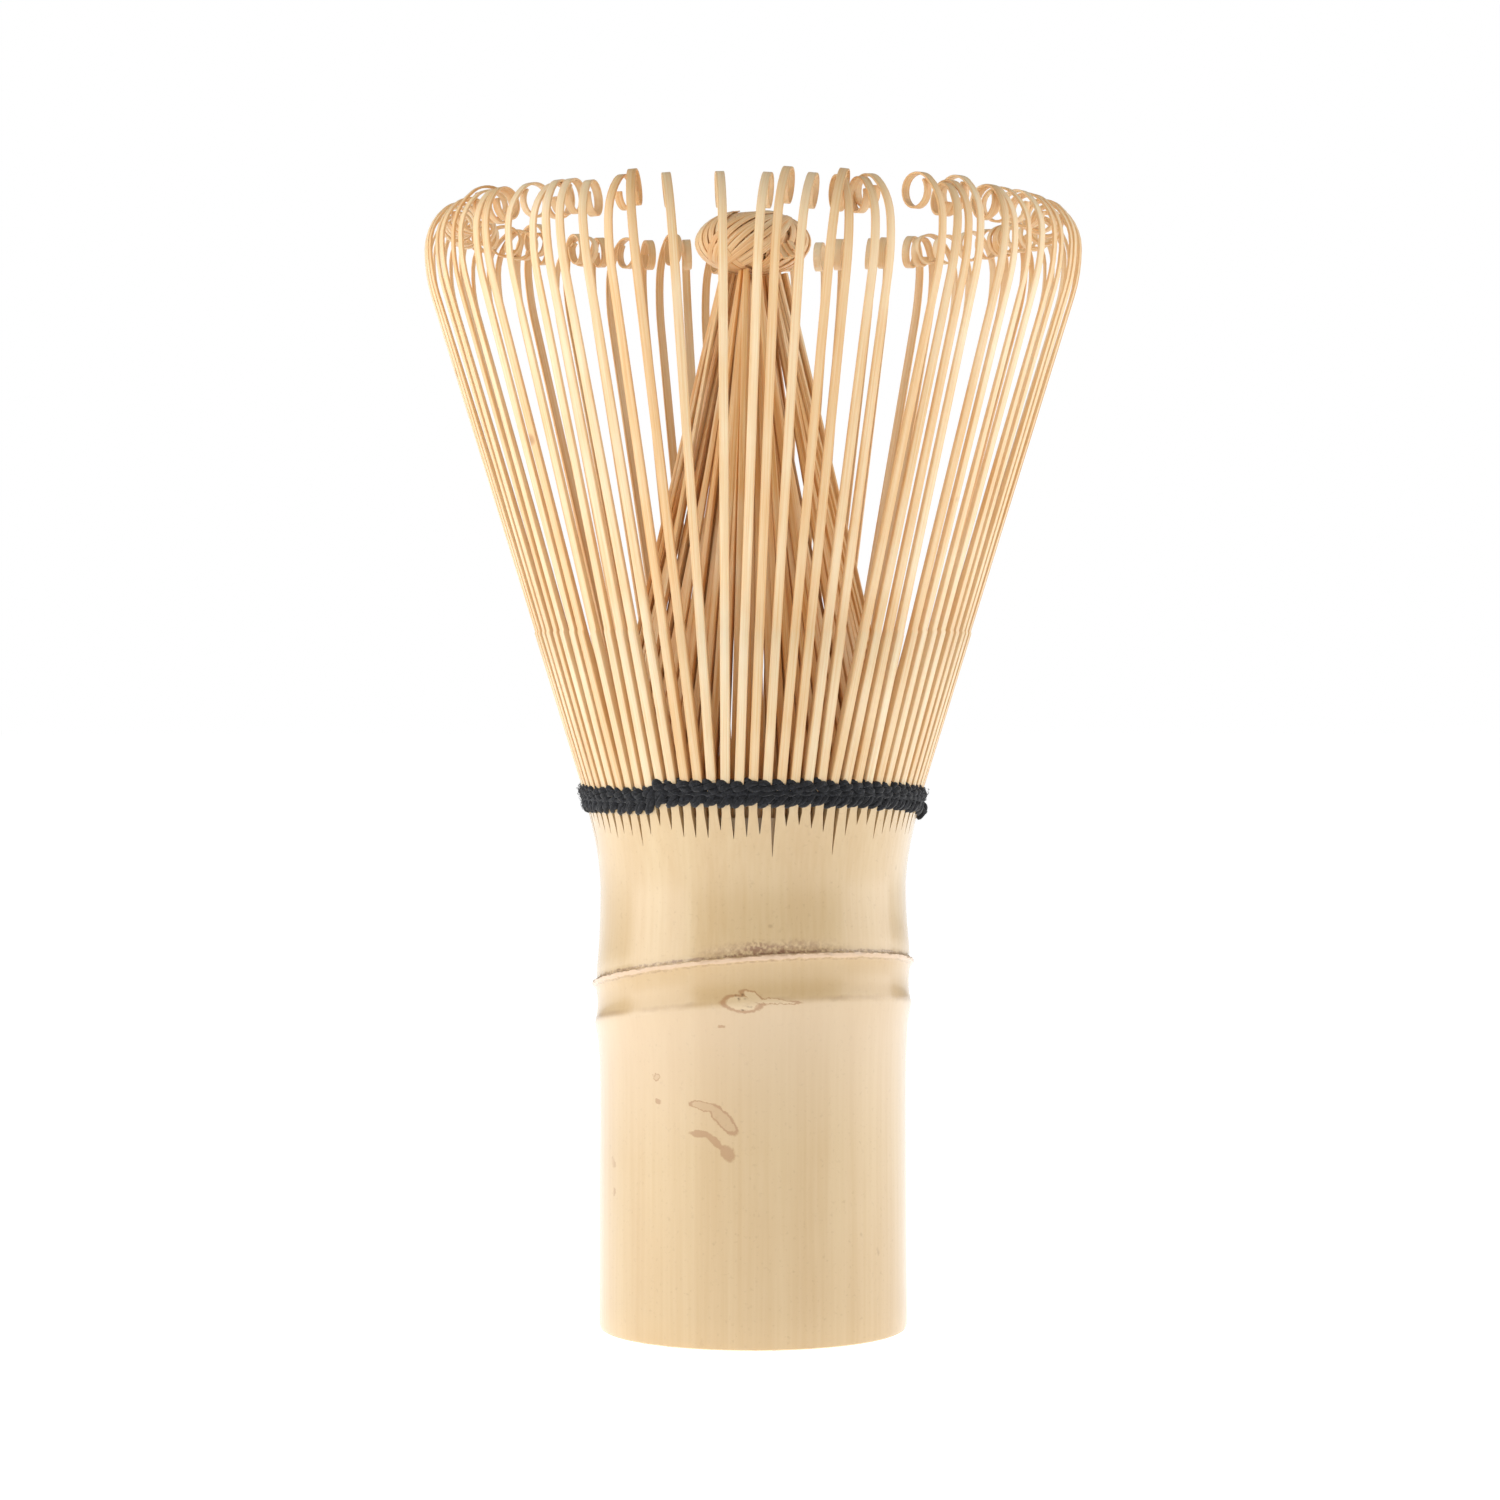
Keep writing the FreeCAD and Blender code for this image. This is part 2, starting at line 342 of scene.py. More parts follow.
def oval(tree, place, x, z, long_mm, short_mm, degrees):
    """Distance from an oval's centre on the front of the culm, 1 at its edge. It slopes down towards +X."""
    flat = add_node(tree, "Mapping", {
        "Vector": place,
        "Location": (x * MM, 0, z * MM),
        "Rotation": (0, math.radians(degrees), 0),
        "Scale": (long_mm * MM, 1000.0, short_mm * MM),
    }, vector_type="TEXTURE").outputs[0]
    return add_node(tree, "VectorMath", {0: flat}, operation="LENGTH").outputs["Value"]


def nearest(tree, values):
    least = values[0]
    for value in values[1:]:
        least = add_node(tree, "Math", {0: least, 1: value}, operation="MINIMUM")
    return least


def skin_material(name, settings):
    """Dried culm skin: waxy and satin, with fine upright fibres and a node's brown scars."""
    material, tree = new_material(name)
    place = add_node(tree, "TexCoord").outputs["Object"]
    parts = add_node(tree, "SeparateXYZ", {"Vector": place}).outputs
    # fibre streaks about 0.3 mm wide that run the length of an internode
    stretched = add_node(tree, "Mapping", {"Vector": place, "Scale": (1.0, 1.0, 0.02)}).outputs[0]
    streaks = add_node(tree, "TexNoise", {"Vector": stretched, "Scale": 2400.0, "Detail": 3.0})
    broad = add_node(tree, "TexNoise", {"Vector": stretched, "Scale": 300.0, "Detail": 2.0})
    cloud = add_node(tree, "TexNoise", {"Vector": place, "Scale": 70.0, "Detail": 3.0})
    grit = add_node(tree, "TexNoise", {"Vector": place, "Scale": 2600.0, "Detail": 4.0})
    skin, dark, scar = tuple(settings.skin), tuple(settings.skin_dark), tuple(settings.scar)
    tone = laid_over(
        tree, skin, add_node(tree, "MapRange", {0: streaks, 1: 0.66, 2: 0.34}), 0.3, dark,
    )
    pale = add_node(tree, "Math", {
        0: add_node(tree, "MapRange", {0: broad, 1: 0.4, 2: 0.75}), 1: 0.4,
    }, operation="MULTIPLY")
    tone = add_node(tree, "Mix", {
        0: pale, 6: tone, 7: tuple(settings.pith),
    }, data_type="RGBA").outputs[2]
    tone = laid_over(
        tree, tone, add_node(tree, "MapRange", {0: cloud, 1: 0.45, 2: 0.8}), 0.35, dark,
    )
    tone = laid_over(
        tree, tone, add_node(tree, "MapRange", {0: grit, 1: 0.6, 2: 0.75}), 0.16, scar,
    )

    ragged = add_node(tree, "Math", {
        0: add_node(tree, "TexNoise", {"Vector": place, "Scale": 1100.0, "Detail": 5.0}), 1: 0.5,
    }, operation="SUBTRACT")
    ragged = add_node(tree, "Math", {0: ragged, 1: 0.5}, operation="MULTIPLY")
    ridge = height_over(tree, place, RIDGE_RISE[0], RIDGE_RISE[1], RIDGE_Z)
    ridge = add_node(tree, "Math", {0: ridge, 1: ragged}, operation="ADD")
    # between its two ridges the node is a little darker and yellower
    tone = laid_over(tree, tone, band(tree, ridge, -1.9, 1.5, 0.8), 0.35, dark)
    # most of the sheath's brown remains are at the front, round the bud's side
    front = add_node(tree, "MapRange", {
        0: oval(tree, place, 1.6, 37.4, 8.0, 2.2, 0), 1: 1.0, 2: 0.2,
    })
    smudge = add_node(tree, "Math", {
        0: band(tree, ridge, 0.6, 0.3, 0.9),
        1: add_node(tree, "MapRange", {0: grit, 1: 0.35, 2: 0.62}),
    }, operation="MULTIPLY")
    smudge = add_node(tree, "Math", {
        0: smudge, 1: add_node(tree, "Math", {0: front, 1: 0.75}, operation="MULTIPLY"),
    }, operation="MULTIPLY")
    tuft = add_node(tree, "MapRange", {
        0: oval(tree, place, 0.4, 37.6, 1.9, 0.9, 0), 1: 1.1, 2: 0.3,
    })
    tuft = add_node(tree, "Math", {
        0: tuft, 1: add_node(tree, "MapRange", {0: grit, 1: 0.42, 2: 0.55}),
    }, operation="MULTIPLY")
    tuft = add_node(tree, "Math", {
        0: tuft, 1: add_node(tree, "MapRange", {0: parts["Y"], 1: -6 * MM, 2: -7 * MM}),
    }, operation="MULTIPLY")
    tone = add_node(tree, "Mix", {
        0: add_node(tree, "Math", {
            0: smudge, 1: add_node(tree, "Math", {0: tuft, 1: 0.8}, operation="MULTIPLY"),
        }, operation="MAXIMUM"),
        6: tone, 7: scar,
    }, data_type="RGBA").outputs[2]
    # painted highlight: a pale pinkish line along the ridge's rim, where the raised ring catches the light
    painted_ridge_highlight = band(tree, ridge, -0.08, 0.18, 0.08)
    tone = laid_over(tree, tone, painted_ridge_highlight, 0.75, linear("#E3C3A4"))
    line = add_node(tree, "Math", {
        0: band(tree, ridge, 0.33, 0.07, 0.12),
        1: add_node(tree, "MapRange", {0: grit, 1: 0.35, 2: 0.6}),
    }, operation="MULTIPLY")
    tone = laid_over(tree, tone, line, 0.6, scar)
    under = add_node(tree, "Math", {
        0: band(tree, ridge, -0.42, 0.02, 0.1),
        1: add_node(tree, "MapRange", {0: grit, 1: 0.35, 2: 0.6}),
    }, operation="MULTIPLY")
    tone = laid_over(tree, tone, under, 0.35, scar)
    seam = height_over(tree, place, RIDGE_RISE[0] * 0.8, RIDGE_RISE[1] * 0.8, RIDGE_Z - 3.6)
    # the grip starts paler and pinker under the seam
    below = add_node(tree, "Math", {
        0: add_node(tree, "MapRange", {0: seam, 1: 0.0, 2: -0.5}),
        1: add_node(tree, "MapRange", {0: seam, 1: -14.0, 2: -3.0}),
    }, operation="MULTIPLY")
    tone = laid_over(tree, tone, below, 0.45, linear("#E6CDAE"))
    seam = band(
        tree, add_node(tree, "Math", {0: seam, 1: ragged}, operation="ADD"), 0.0, 0.08, 0.3,
    )
    seam = add_node(tree, "Math", {
        0: seam, 1: add_node(tree, "MapRange", {0: broad, 1: 0.3, 2: 0.7}),
    }, operation="MULTIPLY")
    tone = laid_over(tree, tone, seam, 0.35, scar)

    # marks on the front of the skin only
    facing = add_node(tree, "MapRange", {0: parts["Y"], 1: -6 * MM, 2: -7 * MM})
    wobble = add_node(tree, "TexNoise", {
        "Vector": place, "Scale": 900.0, "Detail": 5.0, "Roughness": 0.7,
    }).outputs["Color"]
    shifted = add_node(tree, "VectorMath", {0: wobble, 1: (0.5, 0.5, 0.5)},
                       operation="SUBTRACT").outputs[0]
    shifted = add_node(tree, "VectorMath", {0: shifted, "Scale": 0.9 * MM},
                       operation="SCALE").outputs[0]
    near = add_node(tree, "VectorMath", {0: place, 1: shifted}, operation="ADD").outputs[0]
    ring = nearest(tree, [
        oval(tree, near, -4.6, 22.8, 1.3, 0.38, 12),
        oval(tree, near, -2.8, 21.6, 1.7, 0.62, 46),
        oval(tree, near, -9.1, 25.4, 0.26, 0.34, 0),
    ])
    blot = nearest(tree, [
        oval(tree, near, -4.9, 20.2, 1.1, 0.34, 4),
        oval(tree, near, -3.6, 19.6, 1.2, 0.36, 40),
        oval(tree, near, -2.4, 18.5, 0.85, 0.62, 60),
        oval(tree, near, -8.9, 23.0, 0.28, 0.28, 0),
        oval(tree, near, -13.3, 16.8, 0.16, 0.6, 0),
        oval(tree, near, -13.2, 13.9, 0.14, 0.4, 0),
        oval(tree, near, -3.0, 30.3, 0.4, 0.2, 0),
    ])
    bud = nearest(tree, [
        oval(tree, near, -1.1, 32.5, 1.7, 0.70, 4),
        oval(tree, near, 0.0, 33.1, 1.2, 0.42, 28),
        oval(tree, near, 1.9, 32.7, 2.2, 0.20, 4),
    ])
    outlines = add_node(tree, "Math", {
        0: band(tree, ring, 1.0, 0.08, 0.14), 1: band(tree, bud, 1.04, 0.09, 0.16),
    }, operation="MAXIMUM")
    tone = laid_over(
        tree, tone, add_node(tree, "MapRange", {0: bud, 1: 1.0, 2: 0.8}), 0.6, linear("#E6CCA2"),
    )
    fill = add_node(tree, "Math", {
        0: add_node(tree, "MapRange", {0: ring, 1: 1.1, 2: 0.8}), 1: 0.22,
    }, operation="MULTIPLY")
    fill = add_node(tree, "Math", {
        0: fill,
        1: add_node(tree, "Math", {
            0: add_node(tree, "MapRange", {0: blot, 1: 1.1, 2: 0.85}), 1: 0.55,
        }, operation="MULTIPLY"),
    }, operation="MAXIMUM")
    marks = add_node(tree, "Math", {
        0: add_node(tree, "Math", {0: outlines, 1: 0.62}, operation="MULTIPLY"), 1: fill,
    }, operation="MAXIMUM")
    tone = laid_over(tree, tone, marks, facing, linear("#A6703F"))
    speck = add_node(tree, "MapRange", {
        0: add_node(tree, "TexNoise", {"Vector": place, "Scale": 620.0, "Detail": 1.0}), 1: 0.785,
        2: 0.83,
    })
    tone = laid_over(tree, tone, speck, 0.35, scar)

    # inside the wall and on its cut ends there is no skin
    flat = add_node(tree, "CombineXYZ", {"X": parts["X"], "Y": parts["Y"]}).outputs[0]
    radius = add_node(tree, "VectorMath", {0: flat}, operation="LENGTH").outputs["Value"]
    inside = add_node(tree, "Math", {
        0: add_node(tree, "MapRange", {0: radius, 1: 14.5 * MM, 2: 14.4 * MM}),
        1: add_node(tree, "MapRange", {0: parts["Z"], 1: 0.08 * MM, 2: 0.04 * MM}),
    }, operation="MAXIMUM")
    pores = add_node(tree, "TexVoronoi", {"Vector": flat, "Scale": 1500.0}).outputs["Distance"]
    flesh = add_node(tree, "Mix", {
        0: add_node(tree, "MapRange", {0: pores, 1: 0.32, 2: 0.22}), 6: tuple(settings.pith),
        7: linear("#B98A55"),
    }, data_type="RGBA").outputs[2]
    tone = add_node(tree, "Mix", {0: inside, 6: tone, 7: flesh}, data_type="RGBA").outputs[2]

    rough = add_node(tree, "Math", {
        0: line, 1: add_node(tree, "Math", {0: grit, 1: 3.0}, operation="MULTIPLY"),
    }, operation="MULTIPLY")
    height = add_node(tree, "Math", {0: streaks, 1: rough}, operation="ADD")
    bump = add_node(tree, "Bump", {"Strength": 0.3, "Distance": 0.00005, "Height": height})
    shaded(tree, bump, Base_Color=tone, Roughness=0.38, IOR=1.5, Coat_Weight=1.0, Coat_Roughness=0.2)
    return material


def cotton_material(name, settings):
    """Dyed cotton yarn: matt, with paler lint along the twist; the paler specks are partly the lint's own colour
    and partly painted glints.
    """
    material, tree = new_material(name)
    place = add_node(tree, "TexCoord").outputs["Object"]
    lint = add_node(tree, "TexNoise", {"Vector": place, "Scale": 5200.0, "Detail": 3.0})
    tone = add_node(tree, "Mix", {
        0: add_node(tree, "MapRange", {0: lint, 1: 0.5, 2: 0.78}), 6: tuple(settings.yarn),
        7: tuple(settings.lint),
    }, data_type="RGBA").outputs[2]
    bump = add_node(tree, "Bump", {"Strength": 0.8, "Distance": 0.00008, "Height": lint})
    shaded(tree, bump, Base_Color=tone, Roughness=0.92, IOR=1.5, Sheen_Weight=0.15, Sheen_Roughness=0.5)
    return material


# Strips ---------------------------------------------------------------------

ROUNDING = 0.05 * MM          # on a strip's long edges


class Strip:
    """A strip of bamboo modelled upright from the origin, its outer face on x = 0."""

    def __init__(self, name, width, thickness, start=0.0):
        deselect()
        bpy.ops.mesh.primitive_plane_add(size=1.0, location=(-thickness / 2, 0, start))
        self.obj = added(name)
        self.obj.scale = (thickness, width, 1)
        bpy.ops.object.transform_apply(location=True, rotation=True, scale=True)
        for key in ("along", "across"):
            self.obj.data.attributes.new(key, "FLOAT", "POINT")
        bpy.ops.object.mode_set(mode="EDIT")
        bpy.ops.mesh.select_all(action="SELECT")
        bpy.ops.mesh.delete(type="ONLY_FACE")
        bpy.ops.mesh.select_all(action="SELECT")
        self.width, self.thickness = width, thickness
        self.along = start
        self.heading = 0.0
        self.twist = 0.0
        self.shape(width, thickness)

    def ahead(self):
        return Vector((-math.sin(self.heading), 0, math.cos(self.heading)))

    def directions(self):
        """Outwards and sideways across the strip, as it is twisted."""
        turn = Matrix.Rotation(self.twist, 3, self.ahead())
        return turn @ Vector((math.cos(self.heading), 0, math.sin(self.heading))), turn @ Vector((0, 1, 0))

    def middle(self):
        mesh = bmesh.from_edit_mesh(self.obj.data)
        corners = [v.co for v in mesh.verts if v.select]
        return sum(corners, Vector()) / len(corners)

    def shape(self, width, thickness, twist=0.0, inset=0.0):
        """Gives the end its size and twist, its outer face kept where it was unless inset."""
        mesh = bmesh.from_edit_mesh(self.obj.data)
        corners = [v for v in mesh.verts if v.select]
        centre = self.middle()
        out, side = self.directions()
        signs = [((v.co - centre).dot(out) > 0, (v.co - centre).dot(side) > 0) for v in corners]
        centre = centre - out * ((thickness - self.thickness) / 2 + inset)
        self.twist += twist
        out, side = self.directions()
        along = mesh.verts.layers.float["along"]
        across = mesh.verts.layers.float["across"]
        for v, (outer, right) in zip(corners, signs):
            deep, aside = (0.5 if outer else -0.5), (0.5 if right else -0.5)
            v.co = centre + out * thickness * deep + side * width * aside
            v[along] = self.along / MM
            v[across] = aside * width / MM
        bmesh.update_edit_mesh(self.obj.data)
        self.width, self.thickness = width, thickness

    def grow(self, distance, width=None, thickness=None, twist=0.0, inset=0.0):
        """Carries the strip straight on, tapering it about its outer face."""
        bpy.ops.mesh.extrude_region_move(TRANSFORM_OT_translate={"value": self.ahead() * distance})
        self.along += distance
        self.shape(width or self.width, thickness or self.thickness, twist, inset)

    def curl(self, radius, degrees, steps, width=None):
        """Turns the strip inward round a centre on its inner side."""
        turn = math.radians(degrees) / steps
        width = width or self.width
        inward = Vector((-math.cos(self.heading), 0, -math.sin(self.heading)))
        centre = self.middle() + inward * radius
        for step in range(steps):
            # spin turns against the right-hand rule, so this axis turns the strip towards -X
            bpy.ops.mesh.spin(steps=1, angle=turn, center=centre, axis=(0, 1, 0))
            self.heading += turn
            self.along += radius * turn
            self.shape(self.width * (width / self.width) ** (1 / (steps - step)), self.thickness)

    def finished(self):
        """Closes both ends and rounds the long edges."""
        bpy.ops.mesh.select_all(action="SELECT")
        bpy.ops.mesh.remove_doubles(threshold=0.001 * MM)
        bpy.ops.mesh.fill_holes(sides=4)
        bpy.ops.mesh.normals_make_consistent(inside=False)
        bpy.ops.object.mode_set(mode="OBJECT")
        applied(self.obj, "BEVEL", width=ROUNDING, segments=2, limit_method="ANGLE",
                angle_limit=math.radians(50))
        return smoothed(self.obj, 50)


BURIED = 1.6 * MM             # length of a tine below its hinge
FLEX = 8.0 * MM               # the stretch above the hinge that bends
FLEX_STEPS = 6
FLEX_TAPER = 0.025 * MM       # lost from the thickness in each step
STEP_THICKNESS = 0.62 * MM    # under the step where the skin ends
STEP_DEPTH = 0.10 * MM
STEP_LENGTH = 0.18 * MM
BEND_RADII = (15.6 * MM, 5.0 * MM, 2.2 * MM, 1.45 * MM)   # from the leg into the curl
TIP_REACH = 55.4              # from a hinge to the tip, in mm
TINE_VARIANTS = 10
BLEND_BELOW = Vector((0, 0, 0.5 * MM))    # where a tine's bending starts under its hinge
BLEND_ABOVE = Vector((0, 0, 7.0 * MM))    # and ends over it
TINE_TWIST = 14               # degrees, either way


def outer_strip(name, settings, dice):
    """One curled outer tine, upright, its hinge at the origin."""
    strip = Strip(name, settings.width, settings.thickness, start=-BURIED)
    for _ in range(FLEX_STEPS):
        strip.grow((FLEX + BURIED) / FLEX_STEPS, thickness=strip.thickness - FLEX_TAPER)
    root_width = settings.width * 0.98
    strip.grow(settings.step - FLEX, root_width, STEP_THICKNESS)
    shaved = STEP_THICKNESS - STEP_DEPTH
    strip.grow(STEP_LENGTH, thickness=shaved, inset=STEP_DEPTH)
    rest = settings.leg - settings.step - STEP_LENGTH
    pieces = 7
    for i in range(1, pieces + 1):
        share = i / pieces
        thickness = shaved * (1 - share) + settings.tip_thickness * share
        width = root_width * (1 - share) + settings.tip_width * 1.04 * share
        strip.grow(rest / pieces, width, thickness)
    lean = math.degrees(settings.lean)
    loose = dice.uniform(0.90, 1.02)
    shoulder, crook, neck, eye = BEND_RADII
    strip.curl(shoulder, lean + dice.uniform(-1.0, 1.5), 4, settings.tip_width)
    strip.curl(crook * loose, 50, 5)
    strip.curl(neck * loose, 60, 6)
    strip.curl(eye * dice.uniform(0.94, 1.06), dice.uniform(235, 290), 18, settings.tip_width * 0.94)
    return strip.finished()


def tip_leans(group):
    """How far each tine of a numbered group leans sideways at its tip, in mm."""
    sway = GROUP_SWAY * math.sin(1.9 * group)
    return TIP_LEANS.get(group, [sway + lean for lean in PAIR_LEANS])


def tine_place(azimuth, lean_mm, settings):
    """Tips an upright tine outwards and sideways, and carries it to its root."""
    sideways = math.asin(lean_mm / TIP_REACH)
    return (
        Matrix.Rotation(azimuth, 4, "Z")
        @ Matrix.Translation((HINGE_R, 0, HINGE_Z))
        @ Matrix.Rotation(-sideways, 4, "X")
        @ Matrix.Rotation(settings.lean, 4, "Y")
    )


class WHISK_OT_outer_tines(bpy.types.Operator):
    """Curled outer tines, four to each hinge"""

    bl_idname = "whisk.outer_tines"
    bl_label = "Outer Tines"

    def execute(self, context):
        settings = context.scene.whisk_outer
        dice = random.Random(80)
        material = strip_material("bamboo, split and shaved, satin", tuple(settings.skin),
                                  tuple(settings.shaved), settings.step / MM, linear("#F4E0C4"))
        masters = [outer_strip("tine_master", settings, dice) for _ in range(TINE_VARIANTS)]
        for group, joint in enumerate(TINE_JOINTS, 1):
            tines = []
            for i, lean in enumerate(tip_leans(group)):
                tine = copied(dice.choice(masters), "tine")
                applied(tine, "SIMPLE_DEFORM", deform_method="TWIST", deform_axis="Z",
                        angle=math.radians(dice.uniform(-TINE_TWIST, TINE_TWIST)), limits=(0.25, 1.0))
                put_seed(tine, dice.random())
                azimuth = PITCH * ((group - 1) * GROUP_SIZE + FIRST_TINE + i)
                tines.append(settled(tine, tine_place(azimuth, lean, settings)))
            piece = joined(tines, "curled_tines_%02d" % group)
            piece.data.materials.append(material)
            middle = Vector(joint["pos_m"])
            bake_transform(piece, "handle", joint["child"], start=middle - BLEND_BELOW, end=middle + BLEND_ABOVE)
            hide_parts(joint["child"])
        for master in masters:
            removed(master)
        return {"FINISHED"}


# Inner cone -----------------------------------------------------------------

SHEAVES = (9, 11, 8, 12, 10, 10, 9, 11)   # inner tines that lean together, counted from +X
LEDGE_Z = 48.7                            # height in mm where the inner tines leave the wall
LEDGE_R = 14.3
ROOT_LENGTH = 2.6 * MM
ROOT_LEAN = 8                             # degrees outwards, as the comb leans
CONE_LEAN = 13.9                          # degrees inwards, towards the knot
ROOT_BEND = 9.0 * MM                      # radius of the bend between them
BEND_HEIGHT = 3.5 * MM                    # of that bend over the ledge
INNER_REACH = 48.6 * MM                   # straight length over the bend
LEAN_REACH = 50                           # in mm, for the leans of a sheaf
INNER_VARIANTS = 12
INNER_TWIST = 70                          # degrees, either way


def inner_strip(name, settings, twist):
    """One inner tine, upright: out with the comb, then bent in towards the knot."""
    strip = Strip(name, settings.width, settings.thickness)
    strip.heading = math.radians(-ROOT_LEAN)
    strip.grow(ROOT_LENGTH)
    strip.curl(ROOT_BEND, ROOT_LEAN + CONE_LEAN, 4)
    pieces = 9
    for i in range(1, pieces + 1):
        share = (i / pieces) ** 0.7
        width = settings.width * (1 - share) + settings.tip_width * share
        thickness = settings.thickness * (1 - share) + settings.tip_thickness * share
        strip.grow(INNER_REACH / pieces, width, thickness, twist / pieces)
    return strip.finished()


class WHISK_OT_inner_tines(bpy.types.Operator):
    """Inner tines that lean together in sheaves under the knot"""

    bl_idname = "whisk.inner_tines"
    bl_label = "Inner Tines"

    def execute(self, context):
        settings = context.scene.whisk_inner
        dice = random.Random(11)
        fibre = tuple(settings.fibre)
        material = strip_material("bamboo, split inner wall, matt", fibre, fibre, 0.0, linear("#F0CFA0"))
        twists = [math.radians(dice.uniform(-INNER_TWIST, INNER_TWIST)) for _ in range(INNER_VARIANTS)]
        masters = [inner_strip("inner_master", settings, twist) for twist in twists]
        leans = []
        for size in SHEAVES:
            tight = dice.uniform(0.45, 0.75)
            aside = dice.uniform(-0.5, 0.5)
            for k in range(size):
                off = k - (size - 1) / 2
                sideways = aside - off * 0.26 * tight + dice.uniform(-0.15, 0.15)
                leans.append((sideways, dice.uniform(-0.6, 1.3)))
        node_groups = sorted(n for n in frame["nodes"] if n.startswith("inner_tines"))
        per_node = len(leans) // len(node_groups)
        for group, node in enumerate(node_groups):
            tines = []
            for number in range(group * per_node, (group + 1) * per_node):
                aside, inward = leans[number]
                azimuth = math.tau * (number + 0.5) / len(leans)
                tine = copied(dice.choice(masters), "inner_tine")
                put_seed(tine, dice.random())
                bend = Vector((0, 0, BEND_HEIGHT))
                place = (
                    Matrix.Rotation(azimuth, 4, "Z")
                    @ Matrix.Translation(Vector((LEDGE_R, 0, LEDGE_Z)) * MM + bend)
                    @ Matrix.Rotation(-math.asin(aside / LEAN_REACH), 4, "X")
                    @ Matrix.Rotation(-math.asin(inward / LEAN_REACH), 4, "Y")
                    @ Matrix.Translation(-bend)
                )
                tines.append(settled(tine, place))
            piece = joined(tines, "inner_strips_%02d" % (group + 1))
            piece.data.materials.append(material)
            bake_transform(piece, "handle", "inner_tines", start=(0, 0, HINGE_Z - 1 * MM),
                     end=(0, 0, KNOT_LOW.z - 6 * MM))
            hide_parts(node)
        for master in masters:
            removed(master)
        return {"FINISHED"}


# Each layer of the knot: ribbons, first and last longitude, lean, share of the radius, and arc in degrees.
KNOT_LAYERS = (
    (30, 0, 348, 62, 0.84, 160),
    (34, 0, 350, -8, 0.92, 158),
    (9, 158, 236, -9, 0.985, 150),
    (7, -62, 18, 14, 0.985, 146),
    (8, 60, 128, 30, 0.985, 140),
    (8, 236, 292, 34, 1.0, 132),
)


RIBBON_THICKNESS = 0.2 * MM
# The tuft of cut ends: the first one's place in mm, and the step to the next.
CUT_END = Vector((2.5, -5.6, 103.9))
CUT_STEP = Vector((0.45, 0.25, 0.25))


class WHISK_OT_knot(bpy.types.Operator):
    """Inner tips crossed and swirled into a ball"""

    bl_idname = "whisk.knot"
    bl_label = "Knot"

    def execute(self, context):
        settings = context.scene.whisk_inner
        dice = random.Random(5)
        tips = tuple(settings.knot)
        material = strip_material("bamboo tips, wetted and swirled", tips, tips, 0.0, linear("#F0D4B0"))
        centre = (KNOT_LOW + KNOT_HIGH) / 2
        radius = KNOT_HIGH.x - 0.1 * MM
        squash = (KNOT_HIGH.z - KNOT_LOW.z) / 2 / KNOT_HIGH.x
        ribbons = []
        for count, first, last, lean, share, arc in KNOT_LAYERS:
            for i in range(count):
                size = radius * share * dice.uniform(0.955, 1.0)
                strip = Strip("ribbon", settings.ribbon, RIBBON_THICKNESS)
                strip.curl(size, arc + dice.uniform(-10, 10), 16)
                ribbon = strip.finished()
                put_seed(ribbon, dice.random())
                longitude = first + (last - first) * (i + dice.uniform(-0.12, 0.12)) / (count - 1)
                turn = (
                    Matrix.Rotation(math.radians(lean + dice.uniform(-3, 3)), 4, "Y")
                    @ Matrix.Rotation(math.radians(longitude), 4, "Z")
                    @ Matrix.Rotation(math.radians(arc / 2), 4, "Y")
                    @ Matrix.Translation((size, 0, 0))
                )
                ribbons.append(settled(ribbon, turn))
        whole = Matrix.Translation(centre) @ Matrix.Diagonal((1, 1, squash, 1))
        ball = settled(joined(ribbons, "ball"), whole)
        ends = []
        for i in range(3):
            strip = Strip("cut_end", settings.ribbon, RIBBON_THICKNESS)
            strip.curl(4.0 * MM, 26, 4)
            end = strip.finished()
            put_seed(end, dice.random())
            place = Matrix.Translation((CUT_END + CUT_STEP * i) * MM)
            turn = Matrix.Rotation(math.radians(12 * i - 60), 4, "Z")
            lean = turn @ Matrix.Rotation(math.radians(150), 4, "Y")
            ends.append(settled(end, place @ lean))
        piece = joined([ball] + ends, "swirled_knot")
        piece.data.materials.append(material)
        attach(piece, "inner_tines")
        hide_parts("inner_knot")
        return {"FINISHED"}


# Handle ---------------------------------------------------------------------

# The culm's outer profile: height and radius in mm, with the node's rings level.
GRIP = ((0.12, 14.75), (0.5, 14.88), (3, 14.9), (8, 14.88), (14, 14.84), (20, 14.8), (24, 14.8))
LOWER_RING = ((26, 14.84), (27, 14.88), (28.5, 14.96), (29.4, 15.1), (30.0, 15.22), (30.5, 15.27),
              (30.9, 15.2), (31.3, 15.1), (31.9, 15.04))
SCAR_RING = ((32.6, 15.03), (33.2, 15.07), (33.7, 15.15), (33.98, 15.26), (34.1, 15.42), (34.25, 15.5),
             (34.45, 15.5), (34.56, 15.38), (34.64, 15.14), (34.85, 15.08), (35.3, 15.11))
WAIST = ((36.2, 15.06), (37.2, 14.97), (38.5, 14.87), (40, 14.8), (41.5, 14.76), (43, 14.76), (44.5, 14.86))
FLARE = ((45.5, 14.98), (46.5, 15.14), (47.3, 15.28), (48, 15.44), (49, 15.66), (50, 15.92), (51, 16.18))
CROWN = ((51.9, 16.42), (51.9, 15.55), (49.6, 14.85), (48.95, 14.6), (48.8, 13.4))
INSIDE = ((46, 13.2), (44, 12.6), (36, 11.4), (33.2, 11.2), (33.5, 6), (33.6, 0.0))
UNDER = ((31.0, 0.0), (31.0, 10.4), (30.7, 10.5), (0.3, 10.5), (0.0, 10.7), (0.0, 14.5))


